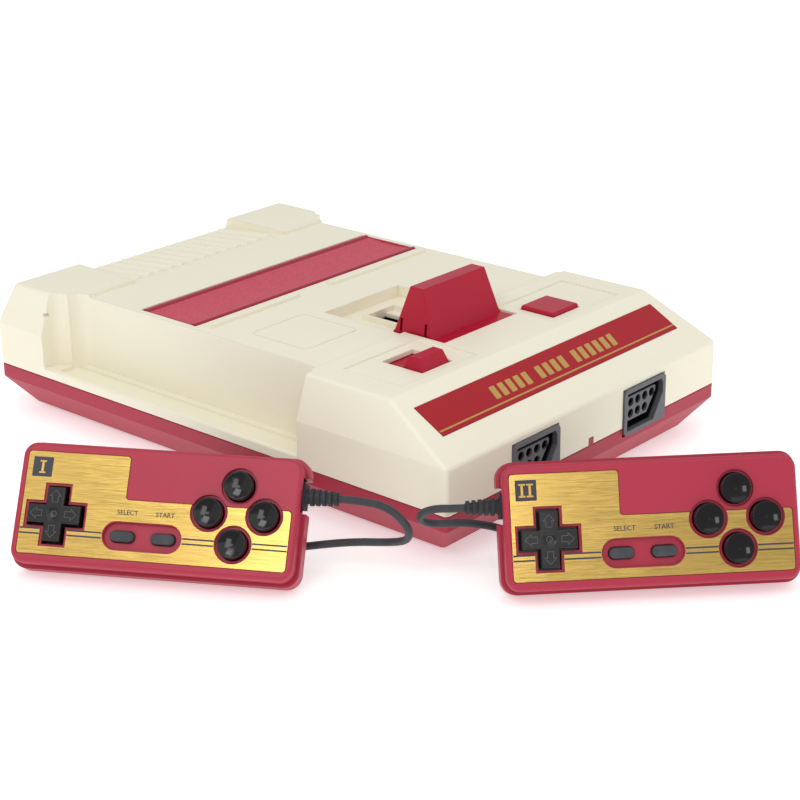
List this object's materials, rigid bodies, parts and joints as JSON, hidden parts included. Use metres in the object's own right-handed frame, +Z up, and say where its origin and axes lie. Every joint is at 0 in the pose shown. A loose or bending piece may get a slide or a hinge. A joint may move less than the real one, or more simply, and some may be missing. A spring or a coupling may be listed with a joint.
{
  "type": "game console with controller",
  "caption": "Low desktop video game console with a cartridge flap, eject lever, power and reset controls, front sockets and two wired game pads.",
  "frame": {"origin": "on the floor under the middle of the console, at the underside of its middle foot", "axes": "+Z up, the front of the console with its pad sockets faces -Y, +X to the right of someone behind it looking along +Y"},
  "size_m": [0.2731, 0.357, 0.072],
  "materials": {
    "aluminium": "satin",
    "black_plastic": "gloss",
    "circuit_board": "solder mask",
    "contact_gold": "bright",
    "crimson_gloss": "semi gloss",
    "crimson_shell": "fine satin texture",
    "dark_rubber": "matt",
    "gold_foil": "brushed",
    "grey_plastic": "satin",
    "ivory_shell": "fine satin texture",
    "nameplate": "printed foil",
    "steel": "satin"
  },
  "bodies": {
    "console": {"av_jacks": "steel", "board_components": "black_plastic", "cartridge_connector": "black_plastic", "case_screws": "steel", "connector_contacts": "contact_gold", "dc_jack": "black_plastic", "feet": "dark_rubber", "flap_pin": "steel", "heat_sink": "aluminium", "lower_case": "crimson_shell", "main_board": "circuit_board", "nameplate": "nameplate", "port_inserts": "grey_plastic", "port_pins": "contact_gold", "ports": "grey_plastic", "power_switch": "steel", "reset_switch": "steel", "switch_bracket": "black_plastic", "upper_case": "ivory_shell"},
    "power_slider_body": {"power_slider": "crimson_gloss"},
    "reset_button_body": {"reset_button": "crimson_gloss"},
    "eject_lever_body": {"eject_lever": "crimson_gloss"},
    "ejector_body": {"ejector": "grey_plastic"},
    "flap_body": {"flap": "crimson_gloss"},
    "pad_1": {"pad_1_front_shell": "crimson_shell", "pad_1_back_shell": "crimson_shell", "pad_1_face_plate": "gold_foil", "pad_1_membrane": "dark_rubber", "pad_1_board": "circuit_board", "pad_1_screws": "steel", "pad_1_relief": "dark_rubber", "pad_1_lead": "dark_rubber", "pad_1_coil": "dark_rubber", "pad_1_plug": "dark_rubber"},
    "pad_1_cross_pivot_body": {"pad_1_cross_pivot": "grey_plastic"},
    "pad_1_cross_body": {"pad_1_cross": "black_plastic"},
    "pad_1_button_up_body": {"pad_1_button_up": "black_plastic"},
    "pad_1_button_left_body": {"pad_1_button_left": "black_plastic"},
    "pad_1_button_right_body": {"pad_1_button_right": "black_plastic"},
    "pad_1_button_down_body": {"pad_1_button_down": "black_plastic"},
    "pad_1_select_body": {"pad_1_select": "dark_rubber"},
    "pad_1_start_body": {"pad_1_start": "dark_rubber"},
    "pad_2": {"pad_2_front_shell": "crimson_shell", "pad_2_back_shell": "crimson_shell", "pad_2_face_plate": "gold_foil", "pad_2_membrane": "dark_rubber", "pad_2_board": "circuit_board", "pad_2_screws": "steel", "pad_2_relief": "dark_rubber", "pad_2_lead": "dark_rubber", "pad_2_coil": "dark_rubber", "pad_2_plug": "dark_rubber"},
    "pad_2_cross_pivot_body": {"pad_2_cross_pivot": "grey_plastic"},
    "pad_2_cross_body": {"pad_2_cross": "black_plastic"},
    "pad_2_button_up_body": {"pad_2_button_up": "black_plastic"},
    "pad_2_button_left_body": {"pad_2_button_left": "black_plastic"},
    "pad_2_button_right_body": {"pad_2_button_right": "black_plastic"},
    "pad_2_button_down_body": {"pad_2_button_down": "black_plastic"},
    "pad_2_select_body": {"pad_2_select": "dark_rubber"},
    "pad_2_start_body": {"pad_2_start": "dark_rubber"}
  },
  "joints": [
    {"name": "eject_slide", "type": "slide", "parent": "console", "child": "eject_lever_body", "axis": [0, 1, 0], "range_m": [0, 0.031]},
    {"name": "ejector_lift", "type": "slide", "parent": "console", "child": "ejector_body", "axis": [0, 0, 1], "range_m": [0, 0.0062]},
    {"name": "power_slide", "type": "slide", "parent": "console", "child": "power_slider_body", "axis": [0, 1, 0], "range_m": [0, 0.007]},
    {"name": "reset_press", "type": "slide", "parent": "console", "child": "reset_button_body", "axis": [0, 0, -1], "range_m": [0, 0.0012], "stiffness_N_per_m": 600, "springref_m": -0.0006},
    {"name": "flap_hinge", "type": "hinge", "parent": "console", "child": "flap_body", "pos_m": [0, 0.0499, 0.0519], "axis": [-1, 0, 0], "range_deg": [0, 95], "stiffness_Nm_per_rad": 0.02, "springref_deg": -17.19},
    {"name": "pad_1_slide", "type": "slide", "parent": "console", "child": "pad_1", "axis": [-0.8643, -0.503, 0], "range_m": [0, 0.05]},
    {"name": "pad_1_cross_left_right", "type": "hinge", "parent": "pad_1", "child": "pad_1_cross_pivot_body", "pos_m": [-0.16978, -0.01816, 0.01896], "axis": [0.497, 0.2892, 0.8181], "range_deg": [-4.5, 4.5], "stiffness_Nm_per_rad": 0.05},
    {"name": "pad_1_cross_up_down", "type": "hinge", "parent": "pad_1_cross_pivot_body", "child": "pad_1_cross_body", "pos_m": [-0.16978, -0.01816, 0.01896], "axis": [0.503, -0.8643, 0], "range_deg": [-4.5, 4.5], "stiffness_Nm_per_rad": 0.05},
    {"name": "pad_1_button_up_press", "type": "slide", "parent": "pad_1", "child": "pad_1_button_up_body", "axis": [0.7071, 0.4115, -0.575], "range_m": [0, 0.0012], "stiffness_N_per_m": 300, "springref_m": -0.0005},
    {"name": "pad_1_button_left_press", "type": "slide", "parent": "pad_1", "child": "pad_1_button_left_body", "axis": [0.7071, 0.4115, -0.575], "range_m": [0, 0.0012], "stiffness_N_per_m": 300, "springref_m": -0.0005},
    {"name": "pad_1_button_right_press", "type": "slide", "parent": "pad_1", "child": "pad_1_button_right_body", "axis": [0.7071, 0.4115, -0.575], "range_m": [0, 0.0012], "stiffness_N_per_m": 300, "springref_m": -0.0005},
    {"name": "pad_1_button_down_press", "type": "slide", "parent": "pad_1", "child": "pad_1_button_down_body", "axis": [0.7071, 0.4115, -0.575], "range_m": [0, 0.0012], "stiffness_N_per_m": 300, "springref_m": -0.0005},
    {"name": "pad_1_select_press", "type": "slide", "parent": "pad_1", "child": "pad_1_select_body", "axis": [0.7071, 0.4115, -0.575], "range_m": [0, 0.0008], "stiffness_N_per_m": 300, "springref_m": -0.0005},
    {"name": "pad_1_start_press", "type": "slide", "parent": "pad_1", "child": "pad_1_start_body", "axis": [0.7071, 0.4115, -0.575], "range_m": [0, 0.0008], "stiffness_N_per_m": 300, "springref_m": -0.0005},
    {"name": "pad_2_slide", "type": "slide", "parent": "console", "child": "pad_2", "axis": [-0.6959, -0.7181, 0], "range_m": [0, 0.05]},
    {"name": "pad_2_cross_left_right", "type": "hinge", "parent": "pad_2", "child": "pad_2_cross_pivot_body", "pos_m": [-0.07642, -0.15961, 0.01944], "axis": [0.3029, 0.3126, 0.9003], "range_deg": [-4.5, 4.5], "stiffness_Nm_per_rad": 0.05},
    {"name": "pad_2_cross_up_down", "type": "hinge", "parent": "pad_2_cross_pivot_body", "child": "pad_2_cross_body", "pos_m": [-0.07642, -0.15961, 0.01944], "axis": [0.7181, -0.6959, 0], "range_deg": [-4.5, 4.5], "stiffness_Nm_per_rad": 0.05},
    {"name": "pad_2_button_up_press", "type": "slide", "parent": "pad_2", "child": "pad_2_button_up_body", "axis": [0.6265, 0.6465, -0.4352], "range_m": [0, 0.0012], "stiffness_N_per_m": 300, "springref_m": -0.0005},
    {"name": "pad_2_button_left_press", "type": "slide", "parent": "pad_2", "child": "pad_2_button_left_body", "axis": [0.6265, 0.6465, -0.4352], "range_m": [0, 0.0012], "stiffness_N_per_m": 300, "springref_m": -0.0005},
    {"name": "pad_2_button_right_press", "type": "slide", "parent": "pad_2", "child": "pad_2_button_right_body", "axis": [0.6265, 0.6465, -0.4352], "range_m": [0, 0.0012], "stiffness_N_per_m": 300, "springref_m": -0.0005},
    {"name": "pad_2_button_down_press", "type": "slide", "parent": "pad_2", "child": "pad_2_button_down_body", "axis": [0.6265, 0.6465, -0.4352], "range_m": [0, 0.0012], "stiffness_N_per_m": 300, "springref_m": -0.0005},
    {"name": "pad_2_select_press", "type": "slide", "parent": "pad_2", "child": "pad_2_select_body", "axis": [0.6265, 0.6465, -0.4352], "range_m": [0, 0.0008], "stiffness_N_per_m": 300, "springref_m": -0.0005},
    {"name": "pad_2_start_press", "type": "slide", "parent": "pad_2", "child": "pad_2_start_body", "axis": [0.6265, 0.6465, -0.4352], "range_m": [0, 0.0008], "stiffness_N_per_m": 300, "springref_m": -0.0005}
  ],
  "couplings": [
    {"joint": "ejector_lift", "follows": "eject_slide", "ratio": 0.2}
  ]
}
